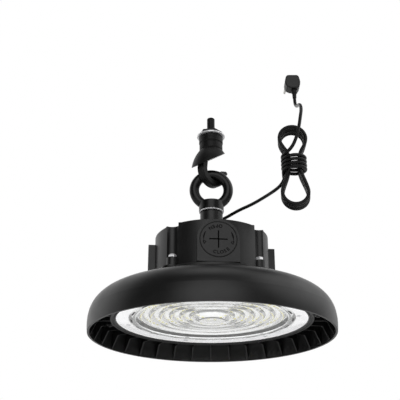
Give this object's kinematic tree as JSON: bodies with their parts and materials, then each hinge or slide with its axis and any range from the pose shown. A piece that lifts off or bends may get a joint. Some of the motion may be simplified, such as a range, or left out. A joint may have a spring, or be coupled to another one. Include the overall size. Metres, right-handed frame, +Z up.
{
  "type": "high bay light",
  "caption": "Round bell-shaped LED high bay light with a drum driver housing, hung by an eye ring from a threaded hook, with a hanked mains cord and plug.",
  "frame": {"origin": "on the hook's stud axis, where the top of its nut meets the underside of the beam it hangs from", "axes": "+Z up along the stud and the light's own axis, -Y towards the side with the screw cap, +X to the side where the cord hangs"},
  "size_m": [0.352, 0.352, 0.413],
  "materials": {
    "cast_black": "satin black powder coat on die-cast aluminium",
    "forged_black": "black coated forged steel",
    "zinc_steel": "zinc plated",
    "black_plastic": "moulded, matt",
    "seal_rubber": "silicone",
    "clear_lens": "clear moulded polycarbonate",
    "white_board": "white solder mask",
    "led_phosphor": "yellow phosphor",
    "thermal_grey": "thermal pad",
    "green_board": "green solder mask",
    "dark_component": "moulded",
    "terminal_grey": "moulded",
    "cord_sheath": "black flexible sheath",
    "brass_pin": "nickel plated"
  },
  "bodies": {
    "fixture": {"heat_sink": "cast_black", "driver_housing": "cast_black", "housing_gasket": "seal_rubber", "housing_screws": "zinc_steel", "port_socket": "dark_component", "gland_body": "black_plastic", "gland_nut": "black_plastic", "gland_seal": "seal_rubber", "gland_locknut": "black_plastic", "driver_board": "green_board", "board_standoffs": "zinc_steel", "transformer": "dark_component", "capacitors": "dark_component", "choke": "dark_component", "terminal_block": "terminal_grey", "thermal_pad": "thermal_grey", "led_board": "white_board", "led_packages": "led_phosphor", "lens": "clear_lens", "lens_gasket": "seal_rubber", "lens_screws": "zinc_steel", "bezel_ring": "black_plastic", "bezel_screws": "zinc_steel", "eye_nut": "forged_black", "eye_stud": "zinc_steel", "eye_set_screw": "zinc_steel", "eye_lock_washer": "zinc_steel", "hook": "forged_black", "hook_nut": "forged_black", "hook_washer": "zinc_steel", "power_cord_lower": "cord_sheath", "cord_hank": "cord_sheath", "power_cord_upper": "cord_sheath", "plug_relief": "cord_sheath", "plug_body": "black_plastic", "plug_pins": "brass_pin"},
    "cap_seal": {"port_seal": "seal_rubber"},
    "cap": {"port_cap": "black_plastic"}
  },
  "joints": [
    {"name": "cap_travel", "type": "slide", "parent": "fixture", "child": "cap_seal", "axis": [0.0993, -0.9951, 0], "range_m": [0, 0.006]},
    {"name": "cap_turn", "type": "hinge", "parent": "cap_seal", "child": "cap", "pos_m": [0.00829, -0.08309, -0.2088], "axis": [0.0993, -0.9951, 0], "range_deg": [0, 1080]}
  ],
  "couplings": [
    {"joint": "cap_travel", "follows": "cap_turn", "m_per_rad": 0.00031831}
  ]
}
